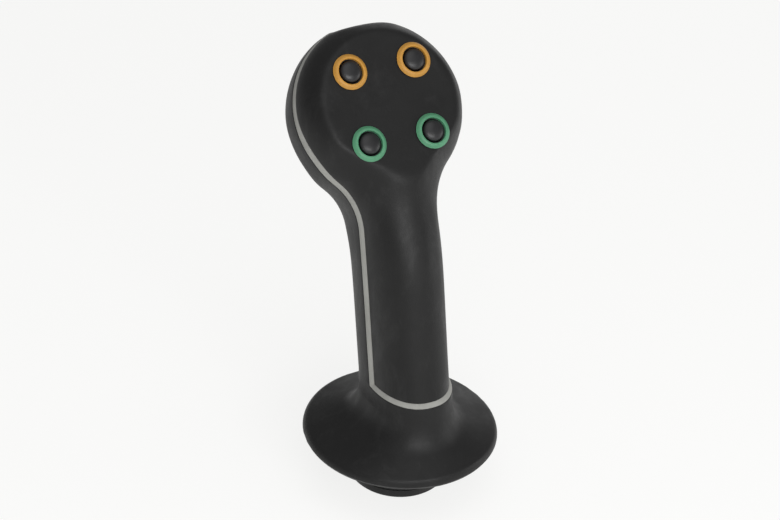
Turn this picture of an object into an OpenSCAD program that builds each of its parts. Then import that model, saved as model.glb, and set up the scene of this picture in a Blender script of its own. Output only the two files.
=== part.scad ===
// Handgrip of an industrial joystick: a leaning moulded grip with a round hand rest,
// a front cover, a pale seal in the parting line and four sprung push buttons.
// The origin is the centre of the boss's lower face, +Z runs up along the lever,
// -Y faces the operator and the buttons, +X is the operator's right.

/* [Hand rest and boss] */
// Diameter of the hand rest
rest_d = 80; // [74:1:90]
// Height of the middle of the hand rest's rim
rest_z = 21.4; // [20:0.2:23]
// Radius of the rounded rim
rim_r = 3.5; // [2.5:0.1:4]
// Thickness of the rim below its middle
rim_lip = 2; // [1.5:0.1:2.4]
// Diameter of the boss under the hand rest
boss_d = 40; // [36:1:44]
// Radius of the hollow between the shaft and the hand rest
flare_r = 13; // [10:0.5:15]
// Height where the hollow leaves the shaft
flare_z = 41.8; // [40:0.2:43]
// Width of the groove round the boss
boss_groove = 0.9; // [0.5:0.1:1.5]

/* [Shaft] */
// Width of the shaft
shaft_w = 33.4; // [32:0.2:35]
// Depth of the shaft in front of the parting line
shaft_front = 21.8; // [21:0.2:23]
// Depth of the shaft behind the parting line
shaft_rear = 19.4; // [18:0.2:21]
// Lean of the shaft from upright
shaft_lean = 15; // [13:0.2:16]
// Place of the parting line at the shaft's foot, in front of the lever axis
foot_y = 2.8; // [2:0.2:4]
// Height of the ledge that carries the lower seal
ledge_z = 48.2; // [47:0.2:50]

/* [Head] */
// Radius of the head's outline
head_r = 35.8; // [34:0.2:38]
// Lean of the button panel from upright
panel_lean = 42; // [38:0.5:46]
// Distance of the panel's centre behind the lever axis
panel_y = 26.7; // [22:0.5:30]
// Height of the panel's centre
panel_z = 160.8; // [156:0.2:168]
// Depth of the panel in front of the parting line
panel_front = 13; // [12:0.2:15]
// Depth of the head behind the parting line
head_rear = 18; // [17:0.2:20]
// Height of the dome that the panel is cut from
head_dome = 23.8; // [23:0.2:25]
// Depth that the flat top takes off the round head
crown_cut = 2.4; // [1.8:0.2:4]
// Radius of the hollow between the head's outline and the shaft
neck_r = 29; // [26:1:36]

/* [Shells and seal] */
// Wall thickness of the shells
wall = 2.5; // [2:0.1:3]
// Width of the seal in the parting line
seal_w = 2.2; // [1.6:0.1:2.8]
// Step from the edge of the body in to the edge of the front cover
seal_step = 1.2; // [0.5:0.1:1.5]

/* [Push buttons] */
// Distance between the left and right buttons
button_dx = 27.7; // [24:0.1:29]
// Distance between the upper and lower buttons
button_dv = 29; // [26:0.1:30]
// Outer diameter of the coloured bezel
bezel_d = 14.2; // [13.8:0.1:15]
// Height of the bezel
bezel_h = 1.7; // [1.4:0.1:2.2]
// Height of the bezel's outer edge
bezel_edge = 0.35; // [0.2:0.05:0.6]
// Diameter of the threaded barrel
barrel_d = 12; // [11.6:0.1:12.4]
// Diameter of the button cap
cap_d = 8.6; // [8:0.1:9]
// Gap all round the cap
cap_gap = 0.45; // [0.3:0.05:0.6]
// Travel of the button
button_travel = 1.6; // [1:0.1:2]
// Diameter of the plunger under the cap
plunger_d = 4.4; // [3.6:0.1:5]
// Radial running clearance of the plunger
plunger_fit = 0.06; // [0.03:0.01:0.1]

/* [Lever socket] */
// Core diameter of the lever's thread
lever_d = 8.5; // [7:0.1:9]
// Outer diameter of the lever insert
insert_d = 14; // [12.5:0.1:14.4]
// Length of the lever insert
insert_len = 18; // [15:0.5:18.5]
// Diameter of the way of the wires above the socket
wire_d = 6.4; // [5:0.1:7]

/* [Cover screws] */
// Shank diameter of the cover screws
screw_d = 3; // [2.5:0.1:3.2]
// Head diameter of the cover screws
screw_head_d = 5.6; // [5:0.1:6]
// Distance of the upper screws from the middle
screw_x = 25; // [24:0.5:26]

/* [Hidden] */
SWITCHES = ["yellow_left", "yellow_right", "green_left", "green_right"];
SWITCH_PARTS = ["bezel", "bezel_washer", "barrel", "nut", "button", "spring", "bridge", "switch_base", "terminals"];

$fn = 48;
fit = 0.1;              // clearance of parts that are pushed into a hole
half_seal = seal_w / 2; // each shell stops this far from the parting line
shell_black = "#2a2a2c";
arc_steps = 20;         // facets across each shell

// ---- The parting line, a curve in the plane x = 0, and its stations ----

panel_n = [-cos(panel_lean), sin(panel_lean)]; // (y, z) out of the panel
panel_v = [sin(panel_lean), cos(panel_lean)];  // (y, z) up the panel
panel_c = [panel_y, panel_z];
head_c = panel_c - panel_front * panel_n;
crown = head_r - crown_cut; // height of the flat top above the head's centre
neck_v = -13.8;    // the straight run of the head starts here
straight = 11.6;   // length of the shaft's straight run
pull_low = 21;     // pull of the shaft on the neck's curve
pull_high = 13.4;  // pull of the head on the neck's curve
foot = [-foot_y, ledge_z];
lean_dir = [sin(shaft_lean), cos(shaft_lean)];
neck_a = foot + straight * lean_dir;
neck_b = head_c + neck_v * panel_v;
neck_curve = [neck_a, neck_a + pull_low * lean_dir, neck_b - pull_high * panel_v, neck_b];

function smooth(t) = let (c = min(1, max(0, t))) c * c * (3 - 2 * c);
function signed_pow(a, p) = sign(a) * pow(abs(a), p);
function bezier(p, t) =
    pow(1 - t, 3) * p[0] + 3 * t * pow(1 - t, 2) * p[1] + 3 * t * t * (1 - t) * p[2] + pow(t, 3) * p[3];

// Half width of the outline at a distance v above the head's centre: the head's circle,
// the hollow of the neck and the shaft, each running smoothly into the next
hollow_end = sqrt(pow(head_r + neck_r, 2) - pow(shaft_w / 2 + neck_r, 2));
hollow_start = hollow_end * head_r / (head_r + neck_r);
function half_width(v) =
    -v <= hollow_start ? sqrt(max(0, head_r * head_r - v * v))
    : -v < hollow_end ? shaft_w / 2 + neck_r - sqrt(neck_r * neck_r - pow(hollow_end + v, 2))
    : shaft_w / 2;

// A station holds its place, the lean of its section, the half width, the depths in front
// and behind, the roundness of both halves and the fall of the flanks
flank_fall = 2.6;  // how fast the head's flanks fall away in front of the neck
flank_low = -30;   // below the head's centre they fall so all the way
flank_len = 20;    // and ease over this length above it
neck_bulge = 1.8;  // how much the back swells at the neck
bulge_v = -36;
neck_dip = 4.4;    // how much the front hollows under the panel
bulge_len = 15;
back_round = 3.4;  // how square the back of the shaft is
head_round = 1.4;  // how much squarer the back gets towards the head
neck_round = 1.8;  // and at the neck
dome_len = 25;     // length over which the top of the head's back rounds off again
round_shaft = 2.2;  // how square the front of the shaft and of the head is
round_head = 2;
neck_low = -50;    // the shaft's back starts to run into the head's here
neck_len = 35;
chin_low = -34;    // the shaft's front starts to run into the panel's dome here
chin_len = 24;
function station(p, lean, v) =
    let (
        w = half_width(v),
        to_head = smooth((v - neck_low) / neck_len),
        at_neck = exp(-pow((v - bulge_v) / bulge_len, 2)),
        front = v > 0 ? head_dome * w / head_r
            : shaft_front + (head_dome - shaft_front) * smooth((v - chin_low) / chin_len)
                - neck_dip * at_neck,
        rear = v > 0 ? head_rear * pow(1 - pow(v / head_r, 3), 1 / 3)
            : shaft_rear + (head_rear - shaft_rear) * to_head + neck_bulge * at_neck,
        round_front = round_shaft + (round_head - round_shaft) * to_head,
        round_rear = back_round + head_round * (to_head - smooth(v / dome_len)) + neck_round * at_neck,
        fall = 2 / round_front + flank_fall * (1 - smooth((v - flank_low) / flank_len))
    )
    [p, lean, w, front, rear, round_front, round_rear, fall];

// Sections lie level at the foot and turn into the head's further up
turn_pow = 1.9;
function section_lean(p) =
    panel_lean * smooth(pow(norm(p - foot) / norm(neck_b - foot), turn_pow));
function below_head(p) = -norm(p - head_c);
function shaft_station(p) = station(p, section_lean(p), below_head(p));
function head_station(v) = station(head_c + v * panel_v, panel_lean, v);

shaft_steps = 4;
neck_steps = 11;
head_steps = 14;
function stations(top) = concat(
    [for (i = [0:shaft_steps - 1])
        let (s = seal_w + (straight - seal_w) * i / shaft_steps)
        shaft_station(foot + lean_dir * s)],
    [for (i = [0:neck_steps])
        shaft_station(bezier(neck_curve, i / neck_steps))],
    [for (i = [1:head_steps])
        head_station(neck_v + (top - neck_v) * sin(90 * i / head_steps))]
);

// A point of a section, q in front of the parting line. Above the panel it is pulled
// back to the panel's plane, with a soft edge.
soft = 1.4;
function soft_over(e) = e > soft ? e : e < -soft ? 0 : pow(e + soft, 2) / (4 * soft);
function section_point(st, x, q, inset) =
    let (
        f = [-cos(st[1]), sin(st[1])],
        p = st[0] + q * f,
        over = (p - panel_c) * panel_n + inset,
        c = p - soft_over(over) / (f * panel_n) * f
    )
    [x, c[0], c[1]];

// Front arc of a section, from its left edge to its right edge, stepped in from the seal
function front_arc(st, inset = 0, step = seal_step) =
    let (
        core = min(st[2], shaft_w / 2) - inset - step,
        flank = st[2] - inset - step - core,
        d = st[3] - inset - step + half_seal,
        n = st[5],
        a = asin(pow(2 * half_seal / d, n / 2))
    )
    [for (i = [0:arc_steps])
        let (
            b = a + (180 - 2 * a) * i / arc_steps,
            x = core * signed_pow(cos(b), 2 / n) + flank * signed_pow(cos(b), st[7])
        )
        section_point(st, -x, d * pow(sin(b), 2 / n) - half_seal, inset)];

// Rear arc of a section, from its right edge round the back to its left edge
function rear_arc(st, inset = 0) =
    let (
        w = st[2] - inset,
        d = st[4] - inset - half_seal,
        n = st[6]
    )
    [for (i = [0:arc_steps])
        let (b = 180 * i / arc_steps)
        section_point(st, w * signed_pow(cos(b), 2 / n), -d * pow(max(0, sin(b)), 2 / n) - half_seal, inset)];

// ---- Building closed shells from rows of points ----

function quad(a, b, c, d) = [for (t = [[a, b, c], [a, c, d]]) if (t[0] != t[1] && t[1] != t[2] && t[2] != t[0]) t];
function flat(rows) = [for (row = rows) each row];
function ladder(a, b) = [for (i = [0:len(a) - 2]) each quad(a[i], b[i], b[i + 1], a[i + 1])];
function skin(rows) = [for (i = [0:len(rows) - 2]) each ladder(rows[i], rows[i + 1])];
function reversed(list) = [for (i = [len(list) - 1:-1:0]) list[i]];
function closed(row) = concat(row, [row[0]]);
function count(rows, width, start) =
    [for (i = [0:rows - 1]) [for (j = [0:width - 1]) start + i * width + j]];
function column(rows, j) = [for (row = rows) row[j]];

arc_n = arc_steps + 1;

// ---- Front cover ----

module cover_shell() {
    outer = [for (st = stations(crown)) front_arc(st)];
    inner = [for (st = stations(crown - wall)) front_arc(st, wall)];
    rows = len(outer);
    o = count(rows, arc_n, 0);
    i = count(rows, arc_n, rows * arc_n);
    faces = concat(
        skin(o),
        skin([for (row = i) reversed(row)]),
        ladder(column(o, 0), column(i, 0)),
        ladder(column(i, arc_n - 1), column(o, arc_n - 1)),
        ladder(i[0], o[0]),
        [reversed(o[rows - 1])],
        [i[rows - 1]],
        quad(o[rows - 1][0], i[rows - 1][0], i[rows - 1][arc_n - 1], o[rows - 1][arc_n - 1])
    );
    polyhedron(concat(flat(outer), flat(inner)), faces, convexity = 8);
}

// ---- Grip body: rear shell, foot, hand rest ----

foot_st = station(foot, 0, below_head(foot));
foot_mid_y = -foot_y + (shaft_rear - shaft_front) / 2;
rest_r = rest_d / 2;
flare_w = rest_r - shaft_w / 2;
flare_h = flare_z - rest_z;
flare_s = flare_r + rim_r;
cone_len = sqrt(pow(flare_w - flare_s, 2) + flare_h * flare_h - flare_s * flare_s);
cone_slope = atan2(flare_h, flare_w - flare_s) - atan2(flare_s, cone_len);
floor_h = 15.4;      // from the hand rest's edge up to the hollow's floor
cavity_z = rest_z + floor_h;
under_z = rest_z - rim_lip; // lower face of the hand rest
floor_r = 15;

// One row of the foot: a full ring that blends from the shaft's section to a circle
function ring_row(z, blend, r, inset = 0) =
    let (
        back = (ledge_z - z) * tan(shaft_lean) / 2,
        arcs = concat(rear_arc(foot_st, inset), front_arc(foot_st, inset, 0))
    )
    [for (p = arcs)
        let (
            d = [p[0], p[1] - foot_mid_y],
            round_p = (r - inset) * d / norm(d),
            shaft_p = [p[0], p[1] - back]
        )
        [each ((1 - blend) * shaft_p + blend * round_p), z]];

function ledge_ring(inset = 0) = ring_row(ledge_z, 0, rest_r, inset);

function flare_blend(x) = (x - shaft_w / 2) / flare_w;
hollow_steps = 9;
roll_steps = 4;
hollow_rows = [for (i = [hollow_steps:-1:0])
    let (a = (90 - cone_slope) * i / hollow_steps)
    [flare_z - flare_r * sin(a), flare_blend(shaft_w / 2 + flare_r * (1 - cos(a)))]];
roll_rows = [for (i = [roll_steps:-1:0])
    let (a = cone_slope + (90 - cone_slope) * i / roll_steps)
    [rest_z + rim_r * cos(a), flare_blend(rest_r - rim_r + rim_r * sin(a))]];

module body_shell() {
    under = [
        ring_row(under_z, 1, floor_r),
        ring_row(under_z, 1, rest_r - rim_lip - 0.4),
        ring_row(rest_z - rim_lip * 0.6, 1, rest_r - rim_lip * 0.35)
    ];
    base = concat(under, [for (r = concat(roll_rows, hollow_rows)) ring_row(r[0], r[1], rest_r)], [ledge_ring()]);
    cavity = concat([for (z = [cavity_z, flare_z]) ring_row(z, 0, rest_r, wall)], [ledge_ring(wall)]);
    outer = [for (st = stations(crown)) rear_arc(st)];
    inner = [for (st = stations(crown - wall)) rear_arc(st, wall)];
    ring = 2 * arc_n;
    b = count(len(base), ring, 0);
    c = count(len(cavity), ring, len(base) * ring);
    start = (len(base) + len(cavity)) * ring;
    top_b = b[len(b) - 1];
    top_c = c[len(c) - 1];
    rear = [for (j = [0:arc_n - 1]) j];
    o = concat([[for (j = rear) top_b[j]]], count(len(outer), arc_n, start));
    i = concat([[for (j = rear) top_c[j]]], count(len(inner), arc_n, start + len(outer) * arc_n));
    last = len(o) - 1;
    ledge_o = concat([for (j = [arc_n - 1:ring - 1]) top_b[j]], [top_b[0]]);
    ledge_i = concat([for (j = [arc_n - 1:ring - 1]) top_c[j]], [top_c[0]]);
    faces = concat(
        skin([for (row = b) closed(row)]),
        [b[0]],
        skin([for (row = c) reversed(closed(row))]),
        [reversed(c[0])],
        ladder(ledge_o, ledge_i),
        skin(o),
        skin([for (row = i) reversed(row)]),
        ladder(column(o, 0), column(i, 0)),
        ladder(column(i, arc_n - 1), column(o, arc_n - 1)),
        [reversed(o[last])],
        [i[last]],
        quad(o[last][0], i[last][0], i[last][arc_n - 1], o[last][arc_n - 1])
    );
    polyhedron(concat(flat(base), flat(cavity), flat(outer), flat(inner)), faces, convexity = 8);
}

// Cuts and towers of the cover screws: the side and the section each one lies in
screw_along = 14;          // the lower screw, from the foot up the parting line
screw_neck = 0.3;          // the share of the neck's curve below the next screw
SCREWS = [
    [0, shaft_station(foot + screw_along * lean_dir)],
    [0, shaft_station(bezier(neck_curve, screw_neck))],
    [-screw_x, head_station(0)],
    [screw_x, head_station(0)]
];
tower_r = screw_head_d / 2 + 1.6;
post_r = screw_d / 2 + 2.1;
brass_r = screw_d / 2 + 0.8;
brass_len = 2 * screw_d;
seat_q = half_seal + 2 * wall; // the screw heads sit this far behind the parting line
screw_head_h = screw_d / 1.5;
skin_cover = 1.2;          // wall left over the end of a tower or post
screw_reach = 3 * screw_d; // the shanks end this far in front of the parting line

// Local frame with +Z forward out of a section and +Y up along the parting line
module section_frame(x, st) {
    translate([x, st[0][0], st[0][1]]) rotate([90 - st[1], 0, 0]) children();
}
function rear_end(sc) = sc[1][4] - skin_cover;
function front_end(sc) = (sc[0] == 0 ? sc[1][3] - seal_step : panel_front) - skin_cover - 0.4;
bore_run = 40;             // the screw heads' holes run out of the back

module towers() {
    for (sc = SCREWS)
        section_frame(sc[0], sc[1])
            translate([0, 0, -rear_end(sc)]) cylinder(r = tower_r, h = rear_end(sc) - half_seal);
}
module tower_holes() {
    for (sc = SCREWS)
        section_frame(sc[0], sc[1]) {
            translate([0, 0, -seat_q - 1]) cylinder(r = screw_d / 2 + 2 * fit, h = seat_q + 2);
            translate([0, 0, -seat_q - bore_run]) cylinder(r = screw_head_d / 2 + 3 * fit, h = bore_run);
        }
}
module posts() {
    for (sc = SCREWS)
        section_frame(sc[0], sc[1])
            translate([0, 0, -half_seal]) cylinder(r = post_r, h = half_seal + front_end(sc));
}
module post_holes() {
    for (sc = SCREWS)
        section_frame(sc[0], sc[1]) {
            translate([0, 0, -half_seal - 1]) cylinder(r = brass_r, h = brass_len + 1);
            cylinder(r = screw_d / 2 + fit, h = screw_reach + 0.5);
        }
}

// ---- Grip body, boss and lever insert ----
// The wires leave through the hollow lever, so the socket is open to the inside

boss_r = boss_d / 2;
boss_edge = 1;
groove_z = 4;
groove_deep = 0.5;
boss_fillet = 3;
spigot_r = 8;              // the boss is centred in the body by a spigot
spigot_h = 5;

module grip_body() {
    color(shell_black)
        difference() {
            union() {
                body_shell();
                towers();
            }
            tower_holes();
            translate([0, 0, under_z - 1]) cylinder(r = spigot_r + fit, h = spigot_h + fit + 1);
            translate([0, 0, under_z]) cylinder(d = wire_d, h = cavity_z - under_z + 1);
        }
}

module mount_boss() {
    color("#2e2e30")
        difference() {
            rotate_extrude($fn = 96)
                polygon(concat(
                    [[0, 0], [boss_r - boss_edge, 0], [boss_r, boss_edge],
                        [boss_r, groove_z], [boss_r - groove_deep, groove_z],
                        [boss_r - groove_deep, groove_z + boss_groove], [boss_r, groove_z + boss_groove]],
                    [for (i = [0:6])
                        let (a = 15 * i)
                        [boss_r + boss_fillet * (1 - cos(a)), under_z - boss_fillet + boss_fillet * sin(a)]],
                    [[spigot_r, under_z], [spigot_r, under_z + spigot_h], [0, under_z + spigot_h]]
                ));
            translate([0, 0, -1]) cylinder(d = insert_d, h = insert_len + 1);
            translate([0, 0, insert_len - 1]) cylinder(d = wire_d, h = under_z + spigot_h - insert_len + 2);
        }
}

module lever_insert() {
    ring = 1.2;
    color("silver")
        difference() {
            rotate_extrude()
                polygon(concat(
                    [[0, 0], [insert_d / 2, 0]],
                    [for (i = [1:4])
                        let (z = insert_len * i / 5)
                        each [[insert_d / 2, z - ring / 2], [insert_d / 2 - 0.5, z - ring / 2],
                            [insert_d / 2 - 0.5, z + ring / 2], [insert_d / 2, z + ring / 2]]],
                    [[insert_d / 2, insert_len], [0, insert_len]]
                ));
            translate([0, 0, -1]) cylinder(d = lever_d, h = insert_len + 2);
        }
}

// ---- Front cover with its panel holes ----

nut_h = 2.2;
nut_r = (barrel_d / 2 + 1) / cos(30);

function switch_pos(i) = [(i % 2 == 0 ? -1 : 1) * button_dx / 2, (i < 2 ? 1 : -1) * button_dv / 2];
module at_switch(i) {
    at = switch_pos(i);
    section_frame(at[0], [panel_c + at[1] * panel_v, panel_lean]) children();
}

module front_cover() {
    color(shell_black)
        difference() {
            union() {
                cover_shell();
                posts();
            }
            post_holes();
            for (i = [0:3])
                at_switch(i) {
                    translate([0, 0, -2 * wall]) cylinder(d = barrel_d + 2 * fit, h = 4 * wall);
                    translate([0, 0, -wall - nut_h - 1]) cylinder(r = nut_r + 2 * fit, h = nut_h + 1);
                }
        }
}

// ---- Seal in the parting line ----
// It fills the gap between the edges of both shells all round and the ledge below the cover

module seal() {
    st = stations(crown);
    st_in = stations(crown - wall);
    n = len(st);
    function edges(arcs, j) = [for (a = arcs) a[j]];
    cover_out = [for (a = st) front_arc(a)];
    cover_in = [for (a = st_in) front_arc(a, wall)];
    body_out = [for (a = st) rear_arc(a)];
    body_in = [for (a = st_in) rear_arc(a, wall)];
    ledge_out = ledge_ring();
    ledge_in = ledge_ring(wall);
    left = arc_n - 1;
    // Edge points: cover left, cover right, body left, body right, cover foot, ledge
    function edge_points(cover, body, ledge) = concat(
        edges(cover, 0), edges(cover, left), edges(body, left), edges(body, 0),
        cover[0], [for (j = [left:2 * arc_n - 1]) ledge[j]], [ledge[0]]);
    out = edge_points(cover_out, body_out, ledge_out);
    in = edge_points(cover_in, body_in, ledge_in);
    foot_cover = 4 * n;
    foot_ledge = 4 * n + arc_n;
    function foot_id(j) = j == 0 ? 0 : j == left ? n : foot_cover + j;
    // Both edges of the strip, once round: up the left, down the right, back along the foot
    cover_path = concat(
        [for (i = [0:n - 1]) i], [for (i = [n - 1:-1:0]) n + i],
        [n], [for (j = [left:-1:0]) foot_id(j)], [0]);
    body_path = concat(
        [for (i = [0:n - 1]) 2 * n + i], [for (i = [n - 1:-1:0]) 3 * n + i],
        [foot_ledge + arc_n + 1], [for (j = [left:-1:0]) foot_ledge + 1 + j], [foot_ledge]);
    function shifted(path) = [for (p = path) p + len(out)];
    c = closed(cover_path);
    b = closed(body_path);
    color("#9b9b96")
        polyhedron(concat(out, in), concat(
            ladder(c, b),
            ladder(shifted(b), shifted(c)),
            ladder(shifted(c), c),
            ladder(b, shifted(b))
        ), convexity = 8);
}

// ---- Cover screws and their brass inserts ----

module cover_inserts() {
    color("goldenrod")
        for (sc = SCREWS)
            section_frame(sc[0], sc[1])
                translate([0, 0, -half_seal])
                    difference() {
                        cylinder(r = brass_r, h = brass_len);
                        translate([0, 0, -1]) cylinder(d = screw_d, h = brass_len + 2);
                    }
}

module cover_screws() {
    color("gray")
        for (sc = SCREWS)
            section_frame(sc[0], sc[1])
                difference() {
                    union() {
                        translate([0, 0, -seat_q]) cylinder(d = screw_d, h = seat_q + screw_reach);
                        translate([0, 0, -seat_q - screw_head_h]) cylinder(d = screw_head_d, h = screw_head_h);
                    }
                    translate([0, 0, -seat_q - screw_head_h - 1])
                        cylinder(r = screw_head_d / 4, h = 1 + screw_head_h / 2, $fn = 6);
                }
}

// ---- Push buttons, drawn with +Z out of the panel and z = 0 on its face ----

washer_h = 0.3;
hole_r = cap_d / 2 + cap_gap;
plunger_r = plunger_d / 2;
web_top = -5;            // the web that guides the plunger
web_h = 2.5;
chamber_r = barrel_d / 2 - 1.1;
barrel_end = -16;
base_h = 2;
cap_skirt = -1.2;        // lower rim of the cap at rest
cap_edge = 0.9;          // where the dome starts
dome_h = 1.8;
bridge_top = web_top - web_h - 0.05;
bridge_h = 0.8;
bridge_r = chamber_r - 0.6;
contact_z = bridge_top - bridge_h - button_travel - 0.1;
contact_r = 0.8;
contact_x = plunger_r + contact_r + 0.3;
post_pin_r = 0.6;
pin_len = 4.5;

module bezel(tint) {
    crest = hole_r + 0.3;
    low = washer_h + bezel_edge;
    color(tint)
        rotate_extrude($fn = 64)
            polygon(concat(
                [[hole_r, washer_h], [bezel_d / 2, washer_h]],
                [for (i = [0:6])
                    let (a = 15 * i)
                    [crest + (bezel_d / 2 - crest) * cos(a), low + (bezel_h - low) * sin(a)]],
                [[hole_r, bezel_h - 0.3]]
            ));
}
module bezel_washer() {
    color("#202020")
        difference() {
            cylinder(d = bezel_d - 1, h = washer_h);
            translate([0, 0, -1]) cylinder(d = barrel_d + fit, h = washer_h + 2);
        }
}
module barrel() {
    color("#303034")
        rotate_extrude()
            polygon([
                [hole_r, washer_h], [barrel_d / 2, washer_h], [barrel_d / 2, barrel_end],
                [chamber_r, barrel_end], [chamber_r, web_top - web_h],
                [plunger_r + plunger_fit, web_top - web_h], [plunger_r + plunger_fit, web_top],
                [hole_r, web_top]
            ]);
}
module nut() {
    color("silver")
        translate([0, 0, -wall - nut_h])
            difference() {
                cylinder(r = nut_r, h = nut_h, $fn = 6);
                translate([0, 0, -1]) cylinder(d = barrel_d, h = nut_h + 2);
            }
}
module button() {
    cap_r = cap_d / 2;
    color("#161616")
        rotate_extrude()
            polygon(concat(
                [[0, bridge_top - bridge_h - 0.8], [plunger_r, bridge_top - bridge_h - 0.8],
                    [plunger_r, cap_skirt], [cap_r, cap_skirt]],
                [for (i = [0:7])
                    let (a = 90 * i / 8)
                    [cap_r * cos(a), cap_edge + dome_h * sin(a)]],
                [[0, cap_edge + dome_h]]
            ));
}
spring_wire = 0.25;
spring_turns = 3;
spring_sides = 6;
module spring() {
    r = (plunger_r + hole_r) / 2 + 0.1;
    low = web_top + spring_wire;
    high = cap_skirt - spring_wire;
    steps = spring_turns * 14;
    rings = [for (i = [0:steps])
        let (a = 360 * spring_turns * i / steps)
        [for (k = [0:spring_sides - 1])
            let (b = 360 * k / spring_sides, d = r + spring_wire * cos(b))
            [d * cos(a), d * sin(a), low + (high - low) * i / steps + spring_wire * sin(b)]]];
    ids = count(steps + 1, spring_sides, 0);
    color("lightgray")
        polyhedron(flat(rings), concat(
            skin([for (row = ids) reversed(closed(row))]),
            [reversed(ids[0])], [ids[steps]]
        ), convexity = 6);
}
module bridge() {
    color("goldenrod")
        translate([0, 0, bridge_top - bridge_h])
            difference() {
                cylinder(r = bridge_r, h = bridge_h);
                translate([0, 0, -1]) cylinder(r = plunger_r, h = bridge_h + 2);
            }
}
module switch_base() {
    color("#7a3b2e")
        difference() {
            translate([0, 0, barrel_end]) cylinder(r = chamber_r, h = base_h);
            for (x = [-contact_x, contact_x])
                translate([x, 0, barrel_end - 1]) cylinder(r = post_pin_r, h = base_h + 2);
        }
}
module terminals() {
    color("gold")
        for (x = [-contact_x, contact_x])
            translate([x, 0, 0]) {
                translate([0, 0, barrel_end - pin_len]) cylinder(r = post_pin_r, h = contact_z - barrel_end + pin_len);
                translate([0, 0, contact_z - 0.5]) cylinder(r = contact_r, h = 0.5);
            }
}

BEZEL_TINTS = ["#e0aa42", "#e0aa42", "#5fb482", "#5fb482"];
module switch_part(part, i) {
    at_switch(i) {
        if (part == "bezel") bezel(BEZEL_TINTS[i]);
        if (part == "bezel_washer") bezel_washer();
        if (part == "barrel") barrel();
        if (part == "nut") nut();
        if (part == "button") button();
        if (part == "spring") spring();
        if (part == "bridge") bridge();
        if (part == "switch_base") switch_base();
        if (part == "terminals") terminals();
    }
}

grip_body();
front_cover();
seal();
mount_boss();
lever_insert();
cover_inserts();
cover_screws();
for (part = SWITCH_PARTS, i = [0:3])
    switch_part(part, i);
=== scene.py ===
"""Joystick handgrip: moulded shells, seal, push buttons, fixings, finishes and stage."""

import math
from collections import namedtuple

import bmesh
import bpy
import numpy as np
from bpy.props import FloatProperty, FloatVectorProperty, PointerProperty
from mathutils import Matrix, Vector


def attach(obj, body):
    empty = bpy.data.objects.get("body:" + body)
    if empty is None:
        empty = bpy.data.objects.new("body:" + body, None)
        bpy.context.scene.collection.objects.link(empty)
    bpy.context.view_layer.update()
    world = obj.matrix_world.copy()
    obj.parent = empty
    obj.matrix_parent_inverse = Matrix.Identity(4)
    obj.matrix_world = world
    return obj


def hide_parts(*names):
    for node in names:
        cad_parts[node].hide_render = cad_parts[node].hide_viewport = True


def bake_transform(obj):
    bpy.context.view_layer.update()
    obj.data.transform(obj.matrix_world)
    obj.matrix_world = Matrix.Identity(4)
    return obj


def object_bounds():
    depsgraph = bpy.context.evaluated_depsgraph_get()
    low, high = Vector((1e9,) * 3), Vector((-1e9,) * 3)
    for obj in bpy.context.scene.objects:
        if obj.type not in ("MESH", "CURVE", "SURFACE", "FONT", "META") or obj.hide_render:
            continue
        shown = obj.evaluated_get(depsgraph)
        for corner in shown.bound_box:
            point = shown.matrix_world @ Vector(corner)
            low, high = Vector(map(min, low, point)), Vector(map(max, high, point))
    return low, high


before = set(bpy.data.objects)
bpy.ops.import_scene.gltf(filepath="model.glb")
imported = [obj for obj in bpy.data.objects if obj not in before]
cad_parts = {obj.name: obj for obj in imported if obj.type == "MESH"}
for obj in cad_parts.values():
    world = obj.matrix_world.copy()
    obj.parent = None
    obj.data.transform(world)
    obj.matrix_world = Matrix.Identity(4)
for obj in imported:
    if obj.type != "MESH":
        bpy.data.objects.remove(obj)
CAD_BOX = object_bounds()

bl_info = {
    "name": "Joystick handgrip",
    "version": (1, 0, 0),
    "blender": (4, 5, 0),
    "location": "View3D > Sidebar > Handgrip",
    "description": "Shells, seal, push buttons, fixings and finishes of a control lever's handgrip",
    "category": "Object",
}

MM = 0.001
SWITCHES = ("yellow_left", "yellow_right", "green_left", "green_right")

# Camera: degrees left of the front, above the horizon and round its own axis; metres; millimetres
CAMERA_AZIMUTH = 29.42
CAMERA_ELEVATION = 33.15
CAMERA_ROLL = 4.2
CAMERA_DISTANCE = 1.0
CAMERA_TARGET = (-0.01045, 0, 0.10615)
CAMERA_LENS = 118.15
CAMERA_SENSOR = 36

# Azimuth and elevation in degrees, distance and size in metres
LAMPS = {
    "key": (-10, 22, 1.0, (0.8, 0.3)),
    "fill": (-60, 30, 1.0, (0.6, 0.8)),
    "back": (138, 12, 1.0, (0.8, 0.6)),
    "low": (62, 5, 1.0, (0.35, 0.25)),
    "top": (-10, 75, 1.1, (1.0, 1.0)),
}
FLOOR_HALF = 4.0
FLOOR_GAP = 0.0002  # the floor lies this far below the boss, so that their faces don't meet
FLOOR_LIT = 0.24  # share of the floor's white that comes from the lamps and takes shadows
FLOOR_GLOW = 0.83  # share that it has of its own
STUDIO_LIGHT = 0.3  # strength of the even light from all round

# Facets of the curved meshes
ARC_STEPS = 64
CROWN_STEPS = 6
SHAFT_STEPS, NECK_STEPS, HEAD_STEPS = 10, 44, 48
ROLL_STEPS, CONE_STEPS, HOLLOW_STEPS = 10, 12, 26
SEAL_STEPS = 6
TURN_STEPS = 96
FILLET_STEPS = 10
BOSS_SIDES = 144
BEZEL_STEPS = 6
CAP_STEPS = 16
COIL_STEPS, WIRE_SIDES = 150, 12
RIM_SEGMENTS = 3
TINY = 1e-6  # millimetres
MERGE = 1e-7  # metres


# ---- Colours and sizes that a user would change ----


def linear(hex_colour):
    """An sRGB hex colour as linear red, green and blue."""
    channels = [int(hex_colour[i : i + 2], 16) / 255 for i in (1, 3, 5)]
    return tuple(c / 12.92 if c <= 0.04045 else ((c + 0.055) / 1.055) ** 2.4 for c in channels)


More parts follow.
